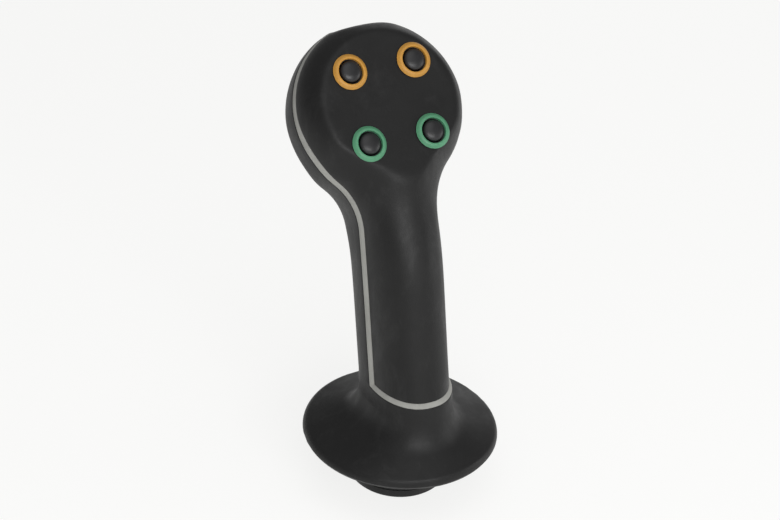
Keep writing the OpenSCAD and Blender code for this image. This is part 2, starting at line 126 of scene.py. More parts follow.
def colour(name, description, hex_colour):
    default = linear(hex_colour)
    return FloatVectorProperty(
        name=name, description=description, default=default, subtype="COLOR", min=0, max=1
    )


def length(name, description, mm):
    return FloatProperty(name=name, description=description, default=mm * MM, unit="LENGTH", min=0)


def power(name, description, watts):
    return FloatProperty(name=name, description=description, default=watts, unit="POWER", min=0)


class HANDGRIP_PG_shells(bpy.types.PropertyGroup):
    shaft_width: length("Shaft width", "Width of the shaft, side to side", 33.4)
    head_radius: length("Head radius", "Radius of the head, seen square to the panel", 35.8)
    neck_radius: length("Neck radius", "Radius of the hollow between head and shaft", 29)
    rest_diameter: length("Hand rest", "Diameter of the hand rest", 80)
    seal_width: length("Seal width", "Width of the seal in the parting line", 2.2)
    edge_radius: length("Edge radius", "Rounding of the shells along the seal", 0.4)
    crown_radius: length("Crown radius", "Rounding of the flat top's edge", 1.6)
    shell_colour: colour("Shell", "Black of the moulded shells", "#191919")
    seal_colour: colour("Seal", "Grey of the seal", "#a3a39e")


class HANDGRIP_PG_buttons(bpy.types.PropertyGroup):
    bezel_diameter: length("Bezel", "Outside diameter of a bezel", 14.2)
    bezel_height: length("Bezel height", "Height of a bezel over the panel", 1.7)
    cap_diameter: length("Cap", "Diameter of a button's cap", 8.6)
    cap_colour: colour("Caps", "Black of the button caps", "#1b1b1d")
    yellow: colour("Upper bezels", "Amber of the upper pair", "#c68f38")
    green: colour("Lower bezels", "Green of the lower pair", "#50916c")


class HANDGRIP_PG_stage(bpy.types.PropertyGroup):
    floor_colour: colour("Floor", "Pale colour of floor and backdrop", "#fbfbfa")
    key_power: power("Key lamp", "Power of the large front lamp", 5)
    fill_power: power("Fill lamp", "Power of the left lamp", 0.25)
    low_power: power("Low lamp", "Power of the low right lamp", 1.1)
    back_power: power("Back lamp", "Power of the lamp behind", 0.8)
    top_power: power("Top lamp", "Power of the overhead lamp", 2.8)


# ---- Section curves of the shells, in millimetres ----


def smooth(t):
    t = min(1.0, max(0.0, t))
    return t * t * (3 - 2 * t)


def signed_pow(a, p):
    return math.copysign(abs(a) ** p, a)


def lean_vectors(lean):
    """Unit vectors in (y, z): up the parting line and forward out of it."""
    a = math.radians(lean)
    return np.array([math.sin(a), math.cos(a)]), np.array([-math.cos(a), math.sin(a)])


ARC = [i / ARC_STEPS for i in range(ARC_STEPS + 1)]

# A section's place (y, z) on the parting line and lean, its half width, its depths in front and
# behind, the roundness of both halves, the fall of its flanks and the step in to the cover's edge
Section = namedtuple("Section", "at lean width front rear round_front round_rear fall step")


class Form:
    """Shapes of the shells and of the pieces in them, with the sizes of the solids."""

    # Shaft and head
    shaft_front = 21.8
    shaft_rear = 19.4
    shaft_lean = 15
    ledge_z = 48.2
    panel_lean = 42
    panel_c = np.array([26.7, 160.8])
    panel_front = 13
    head_rear = 18
    head_dome = 23.8
    crown = 33.4  # height of the flat top above the head's centre

    # The parting line's curve
    neck_v = -13.8
    straight = 11.6
    pull_low = 21
    pull_high = 13.4
    foot = np.array([-2.8, 48.2])
    turn_pow = 1.9

    # Shells and seal
    wall = 2.5
    soft = 1.4  # half width of the blend round the panel
    seal_step = 1.2
    step_fall = 0.6  # share of the step that the upper head's flanks lose
    step_low, step_len = -12, 16
    foot_seal = 1.6  # strip of seal between the cover's foot and the ledge
    seal_sunk = 0.5  # share of edge_r that the seal lies below the shells
    seal_swell = 0.9  # share of that which its middle comes back up

    # Roundness of the sections along the grip
    round_shaft = 2.2
    round_head = 2
    back_round = 3.4
    head_round = 1.4
    neck_round = 1.8
    dome_len = 25
    neck_low, neck_len = -50, 35
    chin_low, chin_len = -34, 24
    flank_fall = 2.6
    flank_low, flank_len = -30, 20
    neck_bulge = 1.8
    neck_dip = 4.4
    bulge_v, bulge_len = -36, 15

    # Hand rest
    rest_z = 21.4
    rim_r = 3.5
    rim_lip = 2
    lip_edge = 0.4  # flat left between the underside and the rounded lip
    lip_down, lip_in = 0.6, 0.35  # the lip's middle, as shares of rim_lip
    under_rows = (0, 0.3, 0.65, 1)
    ledge_rows = (0.25, 0.5, 0.75)
    flare_r = 13
    flare_z = 41.8
    cavity_z = 36.8

    # Boss and lever insert
    boss_r = 20
    boss_edge = 1
    boss_fillet = 3
    boss_corner = 0.22
    boss_flat = 0.5  # straight run between the rounded corners and the fillet
    groove_z = 4
    groove_w = 0.9
    groove_deep = 0.5
    floor_r = 15
    spigot_r = 8
    spigot_h = 5
    socket_r = 7
    socket_len = 18
    wire_r = 3.2
    bore_r = 4.25
    thread_pitch = 1.5
    thread_deep = 0.7
    thread_steps = 12  # rows in each turn
    thread_mouth = 0.8
    knurl_bands = 5
    knurl_gap = 0.6  # half width of the grooves between the bands
    knurl_deep = 0.5

    # Cover screws
    fit = 0.1
    screw_d = 3
    screw_head_d = 5.6
    screw_x = 25
    screw_along = 14
    screw_neck = 0.3
    skin_cover = 1.2
    post_gap = 0.4
    post_wall = 2.1
    brass_wall = 0.8
    tower_wall = 1.6
    tip_gap = 0.5
    bore_run = 40  # the screw heads' holes run out of the back

    # Push buttons, with +Z out of the panel and z = 0 on its face
    button_dx = 27.7
    button_dv = 29
    washer_h = 0.3
    bezel_hole = 5.05
    bezel_edge = 0.55
    bezel_round = 0.25
    bezel_foot = 0.1
    bezel_crest = 0.45
    bezel_mouth = 0.15
    bezel_tip = 0.05
    bezel_pow = 0.9
    barrel_r = 6
    nut_h = 2.2
    nut_r = 8.08
    web_top = -5
    cap_skirt = -1.2
    cap_edge = 0.9
    cap_dome = 1.8
    cap_pow = 0.85
    plunger_r = 2.2
    plunger_low = -9.15
    plunger_edge = 0.2
    spring_wire = 0.25
    spring_r = 3.57
    spring_turns = 3.6
    spring_closed = 0.6  # turns that lie flat at each end

    def __init__(self, sizes):
        self.shaft_w = sizes.shaft_width / MM
        self.head_r = sizes.head_radius / MM
        self.neck_r = sizes.neck_radius / MM
        self.rest_r = sizes.rest_diameter / MM / 2
        self.half_seal = sizes.seal_width / MM / 2
        self.edge_r = sizes.edge_radius / MM
        self.crown_r = sizes.crown_radius / MM
        self.panel_v, self.panel_n = lean_vectors(self.panel_lean)
        self.head_c = self.panel_c - self.panel_front * self.panel_n
        self.lean_dir, _ = lean_vectors(self.shaft_lean)
        a = self.foot + self.straight * self.lean_dir
        b = self.head_c + self.neck_v * self.panel_v
        self.neck_end = float(np.linalg.norm(b - self.foot))
        self.neck = (a, a + self.pull_low * self.lean_dir, b - self.pull_high * self.panel_v, b)
        reach, rise = self.head_r + self.neck_r, self.shaft_w / 2 + self.neck_r
        self.hollow_end = math.sqrt(reach**2 - rise**2)
        self.hollow_start = self.hollow_end * self.head_r / reach
        self.foot_section = self.section(self.foot, 0, self.below_head(self.foot))
        self.foot_mid_y = self.foot[0] + (self.shaft_rear - self.shaft_front) / 2
        self.under = self.rest_z - self.rim_lip

    def below_head(self, p):
        return -float(np.linalg.norm(p - self.head_c))

    def half_width(self, v):
        """Half width of the outline at a height v above the head's centre."""
        if -v <= self.hollow_start:
            return math.sqrt(max(0.0, self.head_r**2 - v * v))
        if -v < self.hollow_end:
            hollow = math.sqrt(self.neck_r**2 - (self.hollow_end + v) ** 2)
            return self.shaft_w / 2 + self.neck_r - hollow
        return self.shaft_w / 2

    def section(self, p, lean, v):
        """The section at a place on the parting line, a height v above the head's centre."""
        w = self.half_width(v)
        to_head = smooth((v - self.neck_low) / self.neck_len)
        at_neck = math.exp(-(((v - self.bulge_v) / self.bulge_len) ** 2))
        if v > 0:
            front = self.head_dome * w / self.head_r
            rear = self.head_rear * (1 - (v / self.head_r) ** 3) ** (1 / 3)
        else:
            to_dome = smooth((v - self.chin_low) / self.chin_len)
            front = self.shaft_front + (self.head_dome - self.shaft_front) * to_dome
            front -= self.neck_dip * at_neck
            rear = self.shaft_rear + (self.head_rear - self.shaft_rear) * to_head
            rear += self.neck_bulge * at_neck
        round_front = self.round_shaft + (self.round_head - self.round_shaft) * to_head
        round_rear = self.back_round + self.head_round * (to_head - smooth(v / self.dome_len))
        round_rear += self.neck_round * at_neck
        flanks = 1 - smooth((v - self.flank_low) / self.flank_len)
        fall = 2 / round_front + self.flank_fall * flanks
        step = 1 - self.step_fall * smooth((v - self.step_low) / self.step_len)
        step *= self.seal_step
        return Section(p, lean, w, front, rear, round_front, round_rear, fall, step)

    def shaft_section(self, p):
        t = float(np.linalg.norm(p - self.foot)) / self.neck_end
        return self.section(p, self.panel_lean * smooth(t**self.turn_pow), self.below_head(p))

    def head_section(self, v):
        return self.section(self.head_c + v * self.panel_v, self.panel_lean, v)

    def neck_at(self, t):
        """Place on the parting line along the neck."""
        a, b, c, d = self.neck
        return (1 - t) ** 3 * a + 3 * t * (1 - t) ** 2 * b + 3 * t * t * (1 - t) * c + t**3 * d

    def sections(self, top):
        """Sections from the foot of the cover up to a height top on the head."""
        rows = []
        for i in range(SHAFT_STEPS):
            s = self.foot_seal + (self.straight - self.foot_seal) * i / SHAFT_STEPS
            rows.append(self.shaft_section(self.foot + s * self.lean_dir))
        for i in range(NECK_STEPS + 1):
            rows.append(self.shaft_section(self.neck_at(i / NECK_STEPS)))
        for i in range(1, HEAD_STEPS + 1):
            rise = math.sin(math.pi / 2 * i / HEAD_STEPS)
            rows.append(self.head_section(self.neck_v + (top - self.neck_v) * rise))
        return rows

    def screw_places(self):
        """Sideways place and section of each cover screw."""
        low = self.shaft_section(self.foot + self.screw_along * self.lean_dir)
        neck = self.shaft_section(self.neck_at(self.screw_neck))
        head = self.head_section(0)
        return (0, low), (0, neck), (-self.screw_x, head), (self.screw_x, head)

    def switch_frame(self, name):
        """Frame of a push button: the origin on the panel's face and +Z out of it."""
        row, column = divmod(SWITCHES.index(name), 2)
        at = self.panel_c + self.button_dv * (0.5 - row) * self.panel_v
        return section_matrix(self.button_dx * (column - 0.5), at, self.panel_lean)

    def place(self, st, x, q, inset):
        """A point q in front of the parting line, pulled back to the panel where it is over it."""
        _, forward = lean_vectors(st.lean)
        p = st.at + q * forward
        over = float((p - self.panel_c) @ self.panel_n) + inset
        if over > self.soft:
            back = over
        elif over < -self.soft:
            back = 0
        else:
            back = (over + self.soft) ** 2 / (4 * self.soft)
        p = p - back / float(forward @ self.panel_n) * forward
        return (x, p[0], p[1])

    def front_arc(self, st, inset=0.0, flush=False):
        """Front half of a section, left to right, stepped in from the body unless flush."""
        side, deep = (0, 0) if flush else (st.step, self.seal_step)
        core = min(st.width, self.shaft_w / 2) - inset - side
        flank = st.width - inset - side - core
        d = st.front - inset - deep + self.half_seal
        n = st.round_front
        first = math.asin((2 * self.half_seal / d) ** (n / 2))
        arc = []
        for t in ARC:
            b = first + (math.pi - 2 * first) * t
            x = core * signed_pow(math.cos(b), 2 / n) + flank * signed_pow(math.cos(b), st.fall)
            arc.append(self.place(st, -x, d * math.sin(b) ** (2 / n) - self.half_seal, inset))
        return arc

    def rear_arc(self, st, inset=0.0):
        """Rear half of a section, right to left round the back."""
        w = st.width - inset
        d = st.rear - inset - self.half_seal
        n = st.round_rear
        arc = []
        for t in ARC:
            b = math.pi * t
            x = w * signed_pow(math.cos(b), 2 / n)
            q = -d * max(0.0, math.sin(b)) ** (2 / n) - self.half_seal
            arc.append(self.place(st, x, q, inset))
        return arc

    def ring(self, z, blend, r, inset=0.0):
        """A full ring of the foot: the shaft's section, blended to a circle round the axis."""
        back = (self.ledge_z - z) * math.tan(math.radians(self.shaft_lean)) / 2
        st = self.foot_section
        ring = []
        for x, y, _ in self.rear_arc(st, inset) + self.front_arc(st, inset, flush=True):
            dy = y - self.foot_mid_y
            k = (r - inset) / math.hypot(x, dy)
            round_x, round_y = x * k, dy * k
            blended = (1 - blend) * x + blend * round_x, (1 - blend) * (y - back) + blend * round_y
            ring.append((*blended, z))
        return ring

    def ledge_ring(self, inset=0.0):
        return self.ring(self.ledge_z, 0, self.rest_r, inset)


# ---- Mesh tools ----


def new_object(name, verts, faces, scale=MM):
    """A mesh object in the row frame with its faces turned outwards."""
    mesh = bpy.data.meshes.new(name)
    mesh.from_pydata([tuple(c * scale for c in v) for v in verts], [], faces)
    bm = bmesh.new()
    bm.from_mesh(mesh)
    bmesh.ops.remove_doubles(bm, verts=bm.verts, dist=MERGE)
    bmesh.ops.dissolve_degenerate(bm, edges=bm.edges, dist=MERGE)
    bmesh.ops.recalc_face_normals(bm, faces=bm.faces)
    bm.to_mesh(mesh)
    bm.free()
    obj = bpy.data.objects.new(name, mesh)
    bpy.context.scene.collection.objects.link(obj)
    return obj


class Skin:
    """Collects rows of points and the faces between them."""

    def __init__(self):
        self.verts = []
        self.faces = []

    def row(self, points):
        start = len(self.verts)
        self.verts += [tuple(float(c) for c in p) for p in points]
        return list(range(start, start + len(points)))

    def rows(self, list_of_points):
        return [self.row(points) for points in list_of_points]

    def ladder(self, a, b, closed=False):
        n = len(a)
        for i in range(n if closed else n - 1):
            j = (i + 1) % n
            self.faces.append((a[i], a[j], b[j], b[i]))

    def grid(self, rows, closed=False):
        for a, b in zip(rows, rows[1:]):
            self.ladder(a, b, closed)

    def cap(self, row):
        self.faces.append(tuple(row))

    def build(self, name):
        return new_object(name, self.verts, self.faces)


def turned(steps):
    """Angles round a full turn."""
    return [2 * math.pi * i / steps for i in range(steps)]


def circle(r, z, steps):
    return [(r * math.cos(a), r * math.sin(a), z) for a in turned(steps)]


def lathe(name, profile, steps=TURN_STEPS):
    """A closed solid of revolution about Z from a profile of (radius, height)."""
    skin = Skin()
    rows = []
    for r, z in profile:
        on_axis = r < TINY
        rows.append(skin.row([(0, 0, z)]) * steps if on_axis else skin.row(circle(r, z, steps)))
    skin.grid(rows + [rows[0]], closed=True)
    skin.faces = [tuple(dict.fromkeys(f)) for f in skin.faces]
    skin.faces = [f for f in skin.faces if len(f) > 2]
    return skin.build(name)


def rounded(points, radius, steps=5):
    """Rounds the inner corners of an open profile of (radius, height) with small arcs."""
    out = [points[0]]
    for before, corner, after in zip(points, points[1:], points[2:]):
        a, b, c = (np.array(p, float) for p in (before, corner, after))
        to_a, to_c = a - b, c - b
        len_a, len_c = np.linalg.norm(to_a), np.linalg.norm(to_c)
        cut = min(radius, len_a / 2.01, len_c / 2.01)
        start, end = b + to_a / len_a * cut, b + to_c / len_c * cut
        for i in range(steps + 1):
            t = i / steps
            out.append(tuple((1 - t) ** 2 * start + 2 * t * (1 - t) * b + t * t * end))
    out.append(points[-1])
    return out


def shade(obj, angle=32):
    """Smooth shading that stays sharp over edges steeper than angle."""
    mesh = obj.data
    mesh.shade_smooth()
    mesh.set_sharp_from_angle(angle=math.radians(angle))
    return obj


def apply_modifiers(obj):
    """Makes the mesh what the object's modifiers give."""
    depsgraph = bpy.context.evaluated_depsgraph_get()
    mesh = bpy.data.meshes.new_from_object(obj.evaluated_get(depsgraph))
    obj.modifiers.clear()
    old = obj.data
    obj.data = mesh
    bpy.data.meshes.remove(old)
    if not len(mesh.polygons):
        raise RuntimeError(f"{obj.name} came out empty")
    return obj


def boolean(obj, tools, operation):
    """Joins tool objects to an object, or cuts it with them, and removes them."""
    for tool in tools:
        mod = obj.modifiers.new("tool", "BOOLEAN")
        mod.operation = operation
        mod.solver = "MANIFOLD"
        mod.object = tool
    apply_modifiers(obj)
    for tool in tools:
        bpy.data.objects.remove(tool)
    return obj


def round_rims(obj, radius, angle=50):
    """Rounds the edges steeper than angle."""
    mod = obj.modifiers.new("rim", "BEVEL")
    mod.limit_method = "ANGLE"
    mod.angle_limit = math.radians(angle)
    mod.width = radius * MM
    mod.segments = RIM_SEGMENTS
    return apply_modifiers(obj)


def section_matrix(x, p, lean):
    """Local frame with +Z forward out of a section and +Y up along the parting line."""
    up, forward = lean_vectors(lean)
    m = Matrix.Identity(4)
    m.col[0] = (1, 0, 0, 0)
    m.col[1] = (0, up[0], up[1], 0)
    m.col[2] = (0, forward[0], forward[1], 0)
    m.col[3] = (x * MM, p[0] * MM, p[1] * MM, 1)
    return m


def moved(obj, matrix):
    """Moves the mesh itself, so that the object stays at the origin."""
    obj.data.transform(matrix)
    return obj


def rod(frame_at, r, low, high, sides=64):
    """A round tool between two heights of a local frame."""
    return moved(lathe("tool", [(0, low), (r, low), (r, high), (0, high)], sides), frame_at)


# ---- Shells, seal and boss ----


def crown_rows(form, arc, inset=0.0):
    """Rows of a half shell, with the edge of its flat top rounded over."""
    top = form.crown - inset
    rows = [arc(st, inset) for st in form.sections(top - form.crown_r)]
    for k in range(1, CROWN_STEPS + 1):
        phi = math.pi / 2 * k / CROWN_STEPS
        st = form.head_section(top - form.crown_r * (1 - math.sin(phi)))
        rows.append(arc(st, inset + form.crown_r * (1 - math.cos(phi))))
    return rows


def half_shell(skin, outer, inner):
    """Joins the outside and inside of a half shell and closes its rims and top."""
    skin.grid(outer)
    skin.grid(inner)
    for side in (0, -1):
        skin.ladder([row[side] for row in outer], [row[side] for row in inner])
    skin.cap(outer[-1])
    skin.cap(inner[-1])
    skin.cap((outer[-1][0], outer[-1][-1], inner[-1][-1], inner[-1][0]))


def front_cover_mesh(form):
    """The cover with its screw posts, the brass inserts' holes and the push buttons' holes."""
    skin = Skin()
    outer = skin.rows(crown_rows(form, form.front_arc))
    inner = skin.rows(crown_rows(form, form.front_arc, form.wall))
    half_shell(skin, outer, inner)
    skin.ladder(outer[0], inner[0])
    cover = round_rims(skin.build("front_cover_shell"), form.edge_r)
    screw_r = form.screw_d / 2
    posts, holes = [], []
    for x, st in form.screw_places():
        at = section_matrix(x, st.at, st.lean)
        depth = form.panel_front if x else st.front - form.seal_step
        reach = depth - form.skin_cover - form.post_gap
        posts.append(rod(at, screw_r + form.post_wall, -form.half_seal, reach))
        brass_r = screw_r + form.brass_wall
        holes.append(rod(at, brass_r, -form.half_seal - 1, 2 * form.screw_d))
        holes.append(rod(at, screw_r + form.fit, 0, 3 * form.screw_d + form.tip_gap))
    for name in SWITCHES:
        at = form.switch_frame(name)
        holes.append(rod(at, form.barrel_r + form.fit, -2 * form.wall, 2 * form.wall))
        nut_low = -form.wall - form.nut_h - 1
        holes.append(rod(at, form.nut_r + 2 * form.fit, nut_low, -form.wall))
    return boolean(boolean(cover, posts, "UNION"), holes, "DIFFERENCE")


def foot_circles(form):
    """Height and radius of the round rows across the underside of the hand rest."""
    edge = form.rest_r - form.rim_lip - form.lip_edge
    circles = [(form.under, form.floor_r + (edge - form.floor_r) * t) for t in form.under_rows]
    lip = form.rest_z - form.rim_lip * form.lip_down, form.rest_r - form.rim_lip * form.lip_in
    return circles + [lip]


def flare_rows(form):
    """Height and half width of the rows from the rim over the cone into the shaft."""
    width = form.rest_r - form.shaft_w / 2
    height = form.flare_z - form.rest_z
    both = form.flare_r + form.rim_r
    cone_len = math.sqrt((width - both) ** 2 + height**2 - both**2)
    slope = math.atan2(height, width - both) - math.atan2(both, cone_len)
    rim, hollow = [], []
    for i in range(ROLL_STEPS + 1):
        a = slope + (math.pi / 2 - slope) * (1 - i / ROLL_STEPS)
        out = form.rest_r - form.rim_r * (1 - math.sin(a))
        rim.append((form.rest_z + form.rim_r * math.cos(a), out))
    for i in range(HOLLOW_STEPS + 1):
        a = (math.pi / 2 - slope) * (1 - i / HOLLOW_STEPS)
        out = form.shaft_w / 2 + form.flare_r * (1 - math.cos(a))
        hollow.append((form.flare_z - form.flare_r * math.sin(a), out))
    low, high = rim[-1], hollow[0]
    cone = []
    for i in range(1, CONE_STEPS):
        t = i / CONE_STEPS
        cone.append(tuple(low[k] + (high[k] - low[k]) * t for k in (0, 1)))
    return rim + cone + hollow


def foot_rows(form):
    """Full rings from the middle of the underside round the rim and up to the ledge."""
    half = form.shaft_w / 2
    rows = [form.ring(z, 1, r) for z, r in foot_circles(form)]
    for z, x in flare_rows(form):
        rows.append(form.ring(z, (x - half) / (form.rest_r - half), form.rest_r))
    level, ledge = rows[-1], form.ledge_ring()
    for t in form.ledge_rows:
        rows.append([tuple(a + (b - a) * t for a, b in zip(p, q)) for p, q in zip(level, ledge)])
    return rows + [ledge]


def grip_body_mesh(form):
    """The body with the flared hand rest, its screw towers and the holes of its foot."""
    skin = Skin()
    base = skin.rows(foot_rows(form))
    heights = form.cavity_z, form.flare_z
    cavity = [form.ring(z, 0, form.rest_r, form.wall) for z in heights]
    cavity = skin.rows(cavity + [form.ledge_ring(form.wall)])
    for rows in (base, cavity):
        skin.grid(rows, closed=True)
        skin.cap(rows[0])
    n = len(ARC)
    outer = [base[-1][:n]] + skin.rows(crown_rows(form, form.rear_arc))
    inner = [cavity[-1][:n]] + skin.rows(crown_rows(form, form.rear_arc, form.wall))
    half_shell(skin, outer, inner)
    skin.ladder(base[-1][n - 1 :] + base[-1][:1], cavity[-1][n - 1 :] + cavity[-1][:1])
    body = round_rims(skin.build("grip_body_shell"), form.edge_r)
    screw_r, head_r = form.screw_d / 2, form.screw_head_d / 2
    seat = form.half_seal + 2 * form.wall
    towers, holes = [], []
    for x, st in form.screw_places():
        at = section_matrix(x, st.at, st.lean)
        towers.append(rod(at, head_r + form.tower_wall, form.skin_cover - st.rear, -form.half_seal))
        holes.append(rod(at, screw_r + 2 * form.fit, -seat - 1, 1))
        holes.append(rod(at, head_r + 3 * form.fit, -seat - form.bore_run, -seat))
    upright = Matrix.Identity(4)
    spigot_end = form.under + form.spigot_h + form.fit
    holes.append(rod(upright, form.spigot_r + form.fit, form.under - 1, spigot_end))
    holes.append(rod(upright, form.wire_r, spigot_end - 1, form.cavity_z + 1))
    return boolean(boolean(body, towers, "UNION"), holes, "DIFFERENCE")


def seal_edges(form, top, inset):
    """Pairs of points, on the cover and on the body, along both sides of the seal."""
    rows = form.sections(top)
    cover = [form.front_arc(st, inset) for st in rows]
    body = [form.rear_arc(st, inset) for st in rows]
    ledge = form.ledge_ring(inset)
    n = len(ARC)
    pairs = [(c[0], b[-1]) for c, b in zip(cover, body)]
    pairs += [(c[-1], b[0]) for c, b in zip(reversed(cover), reversed(body))]
    pairs.append((cover[0][-1], ledge[0]))
    pairs += [(cover[0][j], ledge[n + j]) for j in range(n - 1, -1, -1)]
    pairs.append((cover[0][0], ledge[n - 1]))
    return [(np.array(c), np.array(b)) for c, b in pairs]


def seal_mesh(form):
    """The seal: a strip round the front cover, slightly sunk and crowned."""
    sunk = form.edge_r * form.seal_sunk
    swell = sunk * form.seal_swell
    outside = seal_edges(form, form.crown, sunk)
    inside = seal_edges(form, form.crown - form.wall, form.wall)
    skin = Skin()
    loops = []
    for (c, b), (c_in, b_in) in zip(outside, inside):
        out = (c + b) / 2 - (c_in + b_in) / 2
        out /= np.linalg.norm(out) or 1
        crowned = []
        for i in range(SEAL_STEPS + 1):
            t = i / SEAL_STEPS
            crowned.append(c + (b - c) * t + out * swell * math.sin(math.pi * t))
        loops.append(skin.row(crowned + [b_in, c_in]))
    skin.grid(loops + [loops[0]], closed=True)
    return skin.build("parting_seal")


def boss_mesh(form):
    """The boss under the hand rest with its groove, lever socket and wire hole."""
    groove_top = form.groove_z + form.groove_w
    deep_r = form.boss_r - form.groove_deep
    fillet = []
    for i in range(FILLET_STEPS + 1):
        a = math.pi / 2 * i / FILLET_STEPS
        out = form.boss_r + form.boss_fillet * (1 - math.cos(a))
        fillet.append((out, form.under - form.boss_fillet * (1 - math.sin(a))))
    turned_sides = [
        (form.wire_r, form.socket_len),
        (form.socket_r, form.socket_len),
        (form.socket_r, 0),
        (form.boss_r - form.boss_edge, 0),
        (form.boss_r, form.boss_edge),
        (form.boss_r, form.groove_z),
        (deep_r, form.groove_z),
        (deep_r, groove_top),
        (form.boss_r, groove_top),
        (form.boss_r, form.under - form.boss_fillet - form.boss_flat),
    ]
    spigot_top = form.under + form.spigot_h
    spigot = [(form.spigot_r, form.under), (form.spigot_r, spigot_top), (form.wire_r, spigot_top)]
    profile = rounded(turned_sides, form.boss_corner) + fillet + spigot
    return lathe("mount_boss", profile, BOSS_SIDES)


def insert_mesh(form):
    """The steel insert: bands outside, a screw thread inside."""
    r, gap = form.socket_r, form.knurl_gap
    outside = [(r, 0)]
    for i in range(1, form.knurl_bands):
        z = form.socket_len * i / form.knurl_bands
        low_r = r - form.knurl_deep
        outside += [(r, z - gap), (low_r, z - gap), (low_r, z + gap), (r, z + gap)]
    outside.append((r, form.socket_len))
    skin = Skin()
    rows = [skin.row(circle(out, z, TURN_STEPS)) for out, z in outside]
    count = int(form.socket_len / form.thread_pitch * form.thread_steps)
    for k in range(count, -1, -1):
        z = form.socket_len * k / count
        mouth = max(0.0, form.thread_mouth - z, z - form.socket_len + form.thread_mouth)
        ring = []
        for a in turned(TURN_STEPS):
            turn = (z / form.thread_pitch + a / (2 * math.pi)) % 1
            cut = form.bore_r + max(mouth, form.thread_deep * (1 - abs(2 * turn - 1)))
            ring.append((cut * math.cos(a), cut * math.sin(a), z))
        rows.append(skin.row(ring))
    skin.grid(rows + [rows[0]], closed=True)
    return skin.build("lever_insert_threaded")


# ---- Push buttons ----


def bezel_mesh(form, sizes, name):
    """A bezel: a shallow cone round the cap with a rounded lip."""
    outer, high = sizes.bezel_diameter / MM / 2, sizes.bezel_height / MM
    hole, base, edge = form.bezel_hole, form.washer_h, form.bezel_edge
    low_r, low = outer - form.bezel_round, edge + form.bezel_round
    profile = [(hole, base), (outer - form.bezel_foot, base), (outer, edge), (low_r, low)]
    for i in range(BEZEL_STEPS + 1):
        t = i / BEZEL_STEPS
        rise = math.sin(math.pi / 2 * t) ** form.bezel_pow
        profile.append((low_r + (hole + form.bezel_crest - low_r) * t, low + (high - low) * rise))
    profile.append((hole + form.bezel_mouth, high - form.bezel_tip))
    profile.append((hole, high - form.bezel_round))
    return moved(lathe(f"bezel_{name}_cone", profile), form.switch_frame(name))


def button_mesh(form, sizes, name):
    """A push button: domed cap, skirt and plunger."""
    r, edge, skirt = sizes.cap_diameter / MM / 2, form.cap_edge, form.cap_skirt
    pin_r, low, cut = form.plunger_r, form.plunger_low, form.plunger_edge
    profile = [(0, low), (pin_r - cut, low), (pin_r, low + cut), (pin_r, skirt), (r, skirt)]
    for i in range(CAP_STEPS):
        a = math.pi / 2 * i / CAP_STEPS
        profile.append((r * math.cos(a) ** form.cap_pow, edge + form.cap_dome * math.sin(a)))
    profile.append((0, edge + form.cap_dome))
    return moved(lathe(f"button_{name}_cap", profile), form.switch_frame(name))


def spring_mesh(form, name):
    """A compression spring of round wire with closed ends, between the web and the cap."""
    wire, turns, flat = form.spring_wire, form.spring_turns, form.spring_closed
    low, high = form.web_top + wire, form.cap_skirt - wire
    skin = Skin()
    rows = []
    for i in range(COIL_STEPS + 1):
        turn = turns * i / COIL_STEPS
        z = low + (high - low) * smooth((turn - flat) / (turns - 2 * flat))
        a = 2 * math.pi * turn
        ring = []
        for b in turned(WIRE_SIDES):
            r = form.spring_r + wire * math.cos(b)
            ring.append((r * math.cos(a), r * math.sin(a), z + wire * math.sin(b)))
        rows.append(skin.row(ring))
    skin.grid(rows, closed=True)
    skin.cap(rows[0])
    skin.cap(rows[-1])
    return moved(skin.build(f"spring_{name}_coil"), form.switch_frame(name))


# ---- Materials ----

SPREAD = (0.3, 0.7)  # most of a noise texture's values lie between these


def add(tree, kind, inputs=None, **settings):
    """Adds a node, sets its properties, and sets or links its inputs."""
    node = tree.nodes.new("ShaderNode" + kind)
    for key, value in settings.items():
        setattr(node, key, value)
    for key, value in (inputs or {}).items():
        if isinstance(value, bpy.types.NodeSocket):
            tree.links.new(value, node.inputs[key])
        else:
            node.inputs[key].default_value = value
    return node


def tinted(rgb, factor):
    return tuple(min(1.0, c * factor) for c in rgb)


def material(name, **sockets):
    """A Principled material, with its node tree, shader and object coordinates."""
    mat = bpy.data.materials.new(name)
    mat.use_nodes = True
    tree = mat.node_tree
    shader = tree.nodes["Principled BSDF"]
    for key, value in sockets.items():
        shader.inputs[key.replace("_", " ")].default_value = value
    return mat, tree, shader, add(tree, "TexCoord").outputs["Object"]


def noise(tree, place, mm, **inputs):
    """Noise whose features repeat about every mm millimetres."""
    inputs.update(Vector=place, Scale=1000 / mm)
    return add(tree, "TexNoise", inputs).outputs["Fac"]


def stretched(tree, place, scale):
    return add(tree, "Mapping", {"Vector": place, "Scale": scale}).outputs["Vector"]


def remapped(tree, factor, span, to):
    """The factor, with the span of its values laid over another one."""
    ends = {"From Min": span[0], "From Max": span[1], "To Min": to[0], "To Max": to[1]}
    return add(tree, "MapRange", {"Value": factor, **ends}).outputs["Result"]


def mottled(tree, factor, rgb, gains, span=SPREAD):
    """A colour made darker and paler by a pair of gains, as the factor goes over a span."""
    node = add(tree, "ValToRGB", {"Fac": factor})
    for element, position, gain in zip(node.color_ramp.elements, span, gains):
        element.position = position
        element.color = (*tinted(rgb, gain), 1)
    return node.outputs["Color"]


def connect(tree, shader, tone, rough, grain, strength, deep):
    """Links colour, roughness and a surface grain, deep in millimetres, to a shader."""
    bump = add(tree, "Bump", {"Height": grain, "Strength": strength, "Distance": deep * MM})
    tree.links.new(tone, shader.inputs["Base Color"])
    tree.links.new(rough, shader.inputs["Roughness"])
    tree.links.new(bump.outputs["Normal"], shader.inputs["Normal"])


